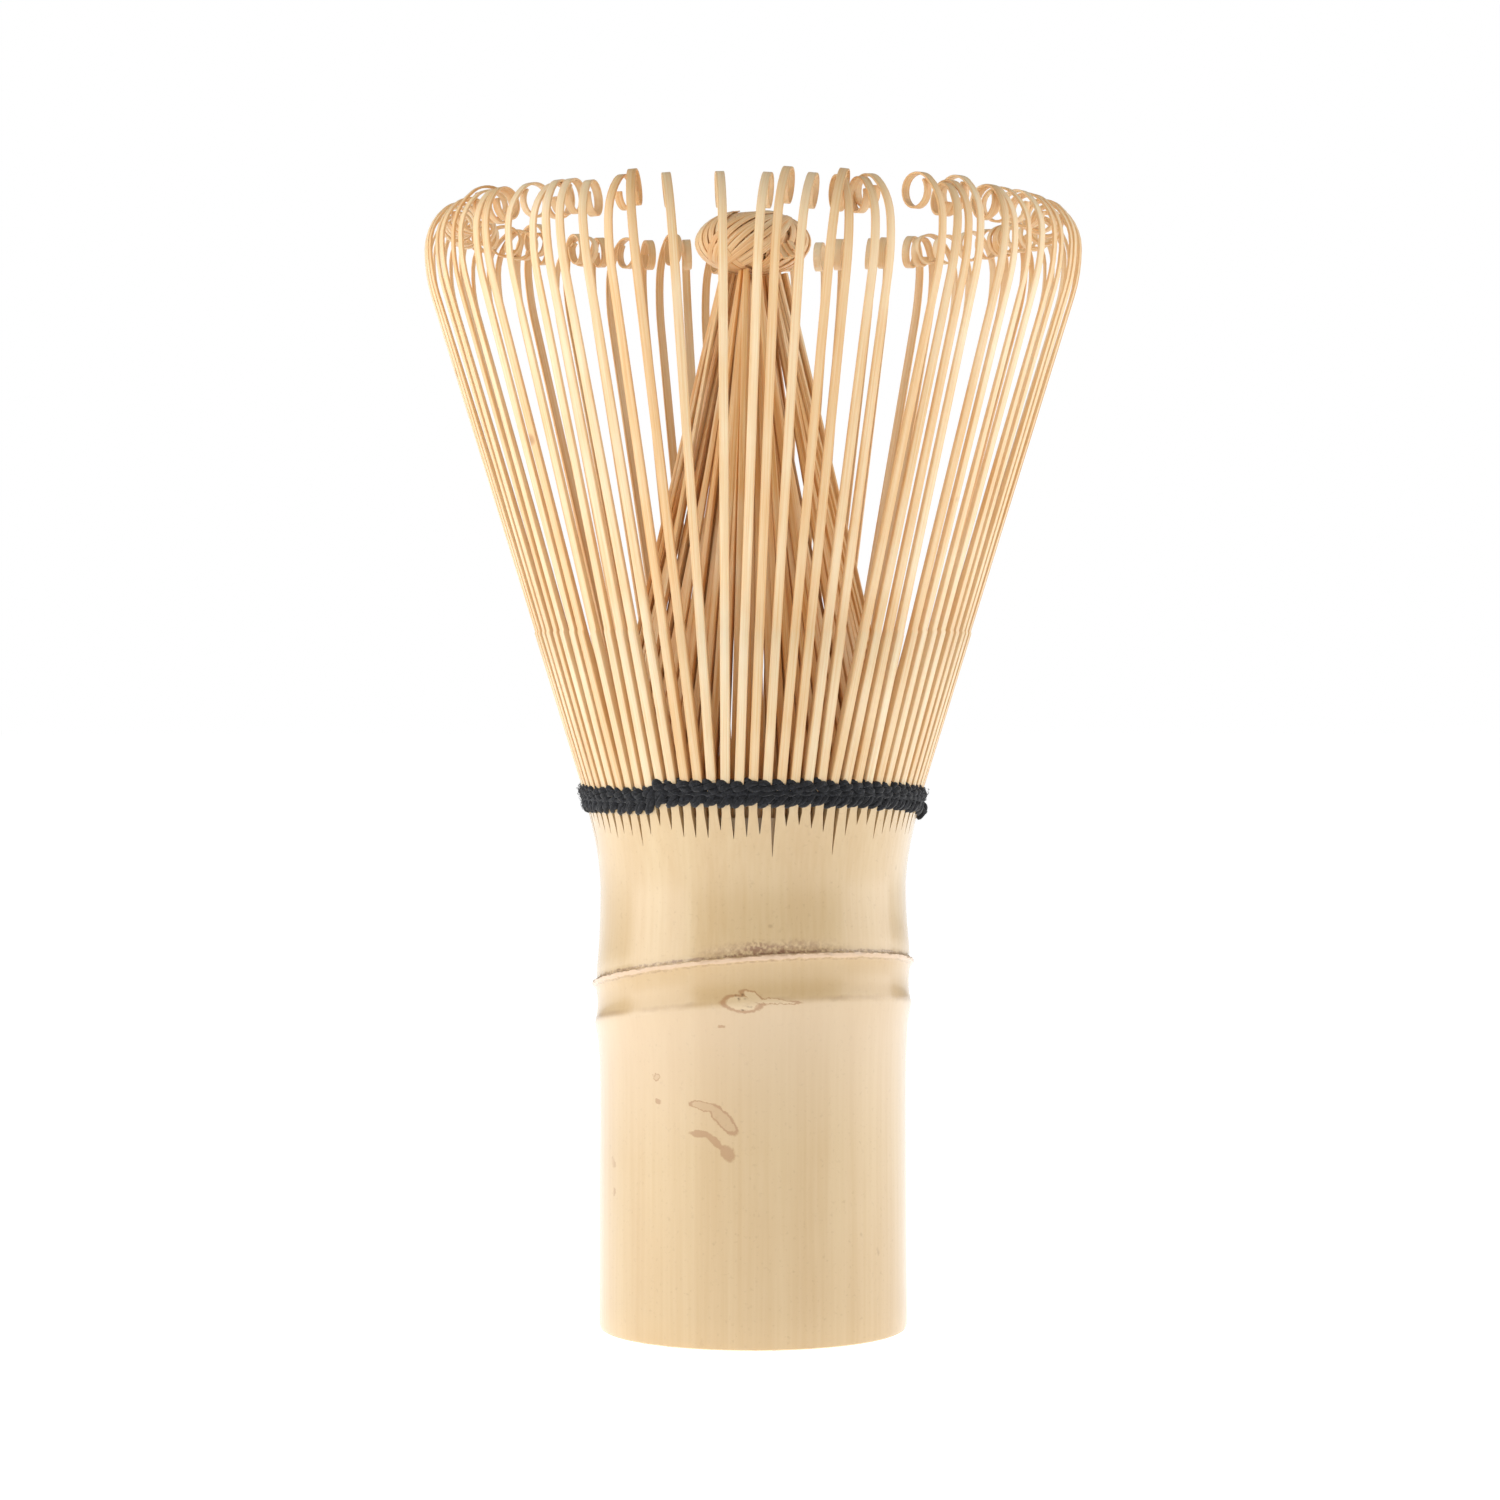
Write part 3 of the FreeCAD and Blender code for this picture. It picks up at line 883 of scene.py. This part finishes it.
# The splits of the comb, in mm: their ends' height, where they have their full width, and the wedges' sides.
SPLIT_END = 48.5
SPLIT_FULL = 50.2
WEDGE_TOP = 54.0
WEDGE_INNER, WEDGE_OUTER = 14.9, 19.0
# The bud scar, in mm: its centre's x and z, and its half length and half height.
BUD_X, BUD_Z = -0.9, 32.6
BUD_LONG, BUD_HIGH = 1.6, 0.85


def node_lean(z):
    """How much of the rings' lean a height in mm has: all of it at the scar ridge."""
    share = (z - 19.0) / (33.0 - 19.0) if z < 34.0 else (46.5 - z) / (46.5 - 35.5)
    share = min(max(share, 0.0), 1.0)
    return share * share * (3 - 2 * share)


class WHISK_OT_handle(bpy.types.Operator):
    """The culm handle, lathed and then split into the comb's root teeth"""

    bl_idname = "whisk.handle"
    bl_label = "Handle"

    def execute(self, context):
        settings = context.scene.whisk_handle
        culm = self.lathed(settings)
        self.lean_node(culm)
        self.split(culm, settings)
        material = skin_material("bamboo culm, dried, waxy skin", settings)
        culm.data.materials.append(material)
        smoothed(culm, 32)
        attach(culm, "handle")
        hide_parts("handle", "node_septum")
        bud = self.bud_scar(culm)
        bud.data.materials.append(material)
        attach(bud, "handle")
        return {"FINISHED"}

    def lathed(self, settings):
        deselect()
        points = [(r, z) for z, r in GRIP + LOWER_RING + SCAR_RING + WAIST + FLARE + CROWN + INSIDE + UNDER]
        bpy.ops.mesh.primitive_plane_add(size=1 * MM, location=(0, 0, 0))
        culm = added("culm_handle")
        bpy.ops.object.mode_set(mode="EDIT")
        bpy.ops.mesh.select_all(action="SELECT")
        bpy.ops.mesh.merge(type="CENTER")
        bpy.ops.transform.translate(value=(points[0][0] * MM, 0, points[0][1] * MM))
        for (r0, z0), (r1, z1) in zip(points, points[1:] + points[:1]):
            move = ((r1 - r0) * MM, 0, (z1 - z0) * MM)
            bpy.ops.mesh.extrude_vertices_move(TRANSFORM_OT_translate={"value": move})
        bpy.ops.mesh.select_all(action="SELECT")
        bpy.ops.mesh.spin(steps=settings.segments, angle=math.tau, center=(0, 0, 0), axis=(0, 0, 1))
        bpy.ops.mesh.select_all(action="SELECT")
        bpy.ops.mesh.remove_doubles(threshold=0.005 * MM)
        bpy.ops.mesh.normals_make_consistent(inside=False)
        bpy.ops.object.mode_set(mode="OBJECT")
        return culm

    def lean_node(self, culm):
        """Raises the node's rings at the front, and leaves the scar ridge ragged."""
        dice = random.Random(34)
        for v in culm.data.vertices:
            x, y, z = v.co / MM
            if math.hypot(x, y) < 14.0:
                continue
            v.co.z += node_lean(z) * (RIDGE_RISE[0] * x + RIDGE_RISE[1] * y) * MM
            if 34.2 < z < 34.7:
                v.co.z += dice.uniform(-0.07, 0.07) * MM
                grow = 1 + dice.uniform(-0.003, 0.003)
                v.co.x *= grow
                v.co.y *= grow

    def split(self, culm, settings):
        """Cuts the comb's splits with thin wedges, some a little deeper than others."""
        dice = random.Random(3)
        wedges = []
        for i in range(OUTER_COUNT):
            deselect()
            bpy.ops.mesh.primitive_cube_add(size=1.0)
            wedge = added("wedge")
            low = SPLIT_END + dice.uniform(-0.9, 0.7) - (1.7 if dice.random() < 0.12 else 0.0)
            width = settings.split_width / MM * dice.uniform(0.85, 1.25)
            for v in wedge.data.vertices:
                top = v.co.z > 0
                v.co.x = WEDGE_OUTER if v.co.x > 0 else WEDGE_INNER
                v.co.z = WEDGE_TOP if top else low
                v.co.y *= width if top else 0.03
            bpy.ops.object.mode_set(mode="EDIT")
            bpy.ops.mesh.select_all(action="SELECT")
            bpy.ops.mesh.bisect(plane_co=(0, 0, SPLIT_FULL), plane_no=(0, 0, 1))
            bpy.ops.object.mode_set(mode="OBJECT")
            for v in wedge.data.vertices:
                if abs(v.co.z - SPLIT_FULL) < 0.01:
                    v.co.y = math.copysign(width / 2, v.co.y)
            place = Matrix.Rotation(PITCH * (i + 0.5), 4, "Z")
            wedges.append(settled(wedge, place @ Matrix.Scale(MM, 4)))
        cutter = joined(wedges, "splits")
        applied(culm, "BOOLEAN", operation="DIFFERENCE", object=cutter, solver="EXACT")
        removed(cutter)

    def bud_scar(self, culm):
        """A leaf-shaped scar that lies on the lower ring, its point towards +X."""
        deselect()
        bpy.ops.mesh.primitive_circle_add(vertices=36, radius=1 * MM, fill_type="NGON")
        bud = added("bud_scar")
        bpy.ops.object.mode_set(mode="EDIT")
        bpy.ops.mesh.select_all(action="SELECT")
        for _ in range(3):
            bpy.ops.mesh.inset(thickness=0.22 * MM)
        bpy.ops.object.mode_set(mode="OBJECT")
        for v in bud.data.vertices:
            x, y = v.co.x / MM, v.co.y / MM
            narrow = 1.0 if x < 0 else max(1 - x, 0.0) ** 0.5
            v.co = Vector((BUD_X + BUD_LONG * x, -16.5, BUD_Z + BUD_HIGH * y * narrow)) * MM
        applied(bud, "SHRINKWRAP", target=culm, wrap_method="PROJECT", use_project_y=True,
                use_positive_direction=True, use_negative_direction=False)
        applied(bud, "SOLIDIFY", thickness=0.13 * MM, offset=-1.0)
        only(bud)
        bpy.ops.object.mode_set(mode="EDIT")
        bpy.ops.mesh.select_all(action="SELECT")
        bpy.ops.mesh.normals_make_consistent(inside=False)
        bpy.ops.object.mode_set(mode="OBJECT")
        applied(bud, "BEVEL", width=0.05 * MM, segments=2, limit_method="ANGLE", angle_limit=math.radians(50))
        return smoothed(bud, 40)


# Thread ---------------------------------------------------------------------

# Each row: its name, its node, its height in mm over the band's middle, and the way its stitches slant.
ROWS = (
    ("twined_row_low", "thread_lower_row", -0.10, 1),
    ("twined_row_high", "thread_upper_row", 1.08, -1),
)
HAIRS = 240
HAIR_RADIUS = 0.018 * MM


def band_drop(azimuth):
    """How far in mm the band has slipped down the comb at an azimuth."""
    degrees = math.degrees(azimuth) % 360
    if degrees < 180:
        return 1.2 - 0.42 * degrees / 180 + 0.12 * math.sin(math.radians(degrees))
    if degrees < 233:
        return 0.78
    if degrees < 237:
        return 0.78 * (237 - degrees) / 4
    return 1.2 * (max(degrees - 290, 0) / 70) ** 1.5


def comb_radius(z):
    """Outer radius of the comb's teeth at a height, both in mm."""
    return (COMB_R + (HINGE_R - COMB_R) * (z * MM - COMB_Z) / (HINGE_Z - COMB_Z)) / MM


def tube(name, points, radius, sides, closed):
    """A round yarn or fibre through its points, which are in mm."""
    data = bpy.data.curves.new(name, "CURVE")
    data.dimensions = "3D"
    data.bevel_depth = radius
    data.bevel_resolution = sides
    data.use_fill_caps = not closed
    spline = data.splines.new("POLY")
    spline.points.add(len(points) - 1)
    spline.use_cyclic_u = closed
    for place, point in zip(points, spline.points):
        point.co = (place[0] * MM, place[1] * MM, place[2] * MM, 1)
    obj = bpy.data.objects.new(name, data)
    bpy.context.scene.collection.objects.link(obj)
    only(obj)
    bpy.ops.object.convert(target="MESH")
    return bpy.context.active_object


class WHISK_OT_thread(bpy.types.Operator):
    """Two rows of black yarn twined between the roots of the outer tines"""

    bl_idname = "whisk.thread"
    bl_label = "Thread"

    def execute(self, context):
        settings = context.scene.whisk_thread
        dice = random.Random(21)
        material = cotton_material("cotton yarn, dyed black, twisted", settings)
        middle = (ROW_LOW.z + HINGE_Z) / 2 / MM
        for name, node, height, slant in ROWS:
            plies = []
            for strand in (0, 1):
                for ply in range(3):
                    places = self.ply_points(middle + height, slant, strand * math.pi, ply * math.tau / 3)
                    plies.append(tube("ply", places, settings.ply_radius, 1, True))
            if slant > 0:
                plies.append(self.filling(middle + (height + ROWS[1][2]) / 2, settings))
            plies += self.lint(dice, middle + height)
            piece = joined(plies, name)
            piece.data.materials.append(material)
            smoothed(piece, 60)
            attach(piece, "handle")
            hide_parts(node)
        knot = self.end_knot(settings, middle)
        knot.data.materials.append(material)
        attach(knot, "handle")
        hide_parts("thread_end_knot")
        return {"FINISHED"}

    def ply_points(self, height, slant, phase, start):
        """One ply of a strand that passes before and behind the tines in turn."""
        steps = OUTER_COUNT * 12
        points = []
        for i in range(steps):
            turn = math.tau * i / steps
            wave = OUTER_COUNT / 2 * turn + phase
            sway = 0.06 * math.sin(7 * turn + phase) + 0.05 * math.sin(19 * turn)
            z = height - band_drop(turn) + 0.22 * slant * math.sin(wave) + sway
            inset = 0.5 - 0.5 * math.cos(wave)
            r = comb_radius(z) + 0.04 - 1.1 * inset ** 2
            twist = start + OUTER_COUNT / 2 * turn + 0.8 * math.sin(11 * turn)
            r += 0.17 * math.cos(twist)
            z += 0.33 * math.sin(twist)
            points.append((r * math.cos(turn), r * math.sin(turn), z))
        return points

    def filling(self, height, settings):
        """A slack strand that lies between the rows."""
        points = []
        for i in range(OUTER_COUNT * 6):
            turn = math.tau * i / (OUTER_COUNT * 6)
            z = height - band_drop(turn) + 0.07 * math.sin(OUTER_COUNT * turn)
            r = comb_radius(z) + 0.06 + 0.06 * math.sin(OUTER_COUNT * turn + 1)
            points.append((r * math.cos(turn), r * math.sin(turn), z))
        return tube("filling", points, settings.ply_radius, 1, True)

    def lint(self, dice, height):
        """Short fibres that stand off the yarn."""
        hairs = []
        for _ in range(HAIRS):
            turn = dice.uniform(0, math.tau)
            z = height - band_drop(turn) + dice.uniform(-0.6, 0.6)
            r = comb_radius(z) + 0.42
            reach, lift = dice.uniform(-0.04, 0.04), dice.uniform(-0.35, 0.35)
            hair = []
            for step in range(4):
                out = r + 0.16 * math.sin(step * math.pi / 3) - 0.02
                hair.append((out * math.cos(turn + reach * step / 3), out * math.sin(turn + reach * step / 3),
                             z + lift * step / 3))
            hairs.append(tube("hair", hair, HAIR_RADIUS, 0, False))
        return hairs

    def end_knot(self, settings, middle):
        """The tied-off end, on the +X side."""
        height = middle - band_drop(0.0) - 0.3
        centre = comb_radius(height) + 0.35
        loops = []
        for i in range(60):
            turn = math.tau * i / 60
            loops.append((
                centre + 0.28 * math.cos(3 * turn),
                0.27 * (math.sin(turn) + 2 * math.sin(2 * turn)),
                height + 0.27 * (math.cos(turn) - 2 * math.cos(2 * turn)) + 0.1,
            ))
        return smoothed(tube("tied_end", loops, settings.ply_radius, 1, True), 60)


# Stage ----------------------------------------------------------------------

# Each softbox: name, place, width and height in m, and power in W.
SOFTBOXES = (
    ("left softbox", (-0.43, -0.12, 0.22), (0.5, 0.5), 1.6),
    ("right softbox", (0.45, 0.04, 0.22), (0.5, 0.5), 1.2),
)
AIM = Vector((0, 0, 0.055))               # where the softboxes point
TABLE_GLOW = 0.72
ROOM_LIGHT = 0.31
CAMERA_PLACE = (-0.0003, -0.399, 0.0612)
CAMERA_DOWN = 0.763                       # degrees below level
LENS = 99.1


def softbox(name, place, size, power):
    """A large soft lamp that faces the whisk."""
    data = bpy.data.lights.new(name, "AREA")
    data.shape = "RECTANGLE"
    data.size, data.size_y = size
    data.energy = power
    lamp = bpy.data.objects.new(name, data)
    lamp.location = place
    lamp.rotation_euler = (AIM - Vector(place)).to_track_quat("-Z", "Y").to_euler()
    bpy.context.scene.collection.objects.link(lamp)


class WHISK_OT_stage(bpy.types.Operator):
    """Pale floor, soft studio light and the camera"""

    bl_idname = "whisk.stage"
    bl_label = "Stage"

    def execute(self, context):
        scene = context.scene
        deselect()
        bpy.ops.mesh.primitive_plane_add(size=12.0, location=(0, 0, 0))
        floor = added("floor")
        # a lit white table, as under a light tent
        material, tree = new_material("opal acrylic table, white, lit")
        shader = add_node(tree, "BsdfPrincipled", {
            "Base Color": linear("#F8F8F8"),
            "Roughness": 0.9,
            "Emission Color": linear("#FFFFFF"),
            "Emission Strength": TABLE_GLOW,
        })
        add_node(tree, "OutputMaterial", {"Surface": shader.outputs["BSDF"]})
        floor.data.materials.append(material)
        world = bpy.data.worlds.new("white room")
        world.use_nodes = True
        room = world.node_tree
        seen = add_node(room, "LightPath").outputs["Is Camera Ray"]
        strength = add_node(room, "MapRange", {
            "Value": seen, "To Min": ROOM_LIGHT, "To Max": 1.0,
        }).outputs[0]
        room.nodes["Background"].inputs["Color"].default_value = (1, 1, 1, 1)
        room.links.new(strength, room.nodes["Background"].inputs["Strength"])
        scene.world = world
        for lamp in SOFTBOXES:
            softbox(*lamp)
        scene.view_settings.view_transform = "Standard"
        camera_data = bpy.data.cameras.new("camera")
        camera_data.sensor_width = 36.0
        camera_data.lens = LENS
        camera = bpy.data.objects.new("camera", camera_data)
        camera.location = CAMERA_PLACE
        camera.rotation_euler = (math.radians(90 - CAMERA_DOWN), 0, 0)
        scene.collection.objects.link(camera)
        scene.camera = camera
        return {"FINISHED"}


class WHISK_PT_panel(bpy.types.Panel):
    """Buttons for the whisk's pieces"""

    bl_label = "Tea Whisk"
    bl_idname = "WHISK_PT_panel"
    bl_space_type = "VIEW_3D"
    bl_region_type = "UI"
    bl_category = "Whisk"

    def draw(self, context):
        for operator in OPERATORS:
            self.layout.operator(operator.bl_idname)


SETTINGS = {
    "whisk_handle": WhiskHandleSettings,
    "whisk_outer": WhiskOuterSettings,
    "whisk_inner": WhiskInnerSettings,
    "whisk_thread": WhiskThreadSettings,
}
OPERATORS = (WHISK_OT_handle, WHISK_OT_outer_tines, WHISK_OT_inner_tines, WHISK_OT_knot, WHISK_OT_thread,
             WHISK_OT_stage)


def register():
    for name, group in SETTINGS.items():
        bpy.utils.register_class(group)
        setattr(bpy.types.Scene, name, PointerProperty(type=group))
    for item in OPERATORS + (WHISK_PT_panel,):
        bpy.utils.register_class(item)


def unregister():
    for item in reversed(OPERATORS + (WHISK_PT_panel,)):
        bpy.utils.unregister_class(item)
    for name, group in SETTINGS.items():
        delattr(bpy.types.Scene, name)
        bpy.utils.unregister_class(group)


def main():
    register()
    bpy.ops.whisk.handle()
    bpy.ops.whisk.outer_tines()
    bpy.ops.whisk.inner_tines()
    bpy.ops.whisk.knot()
    bpy.ops.whisk.thread()
    bpy.ops.whisk.stage()


if __name__ == "__main__":
    main()
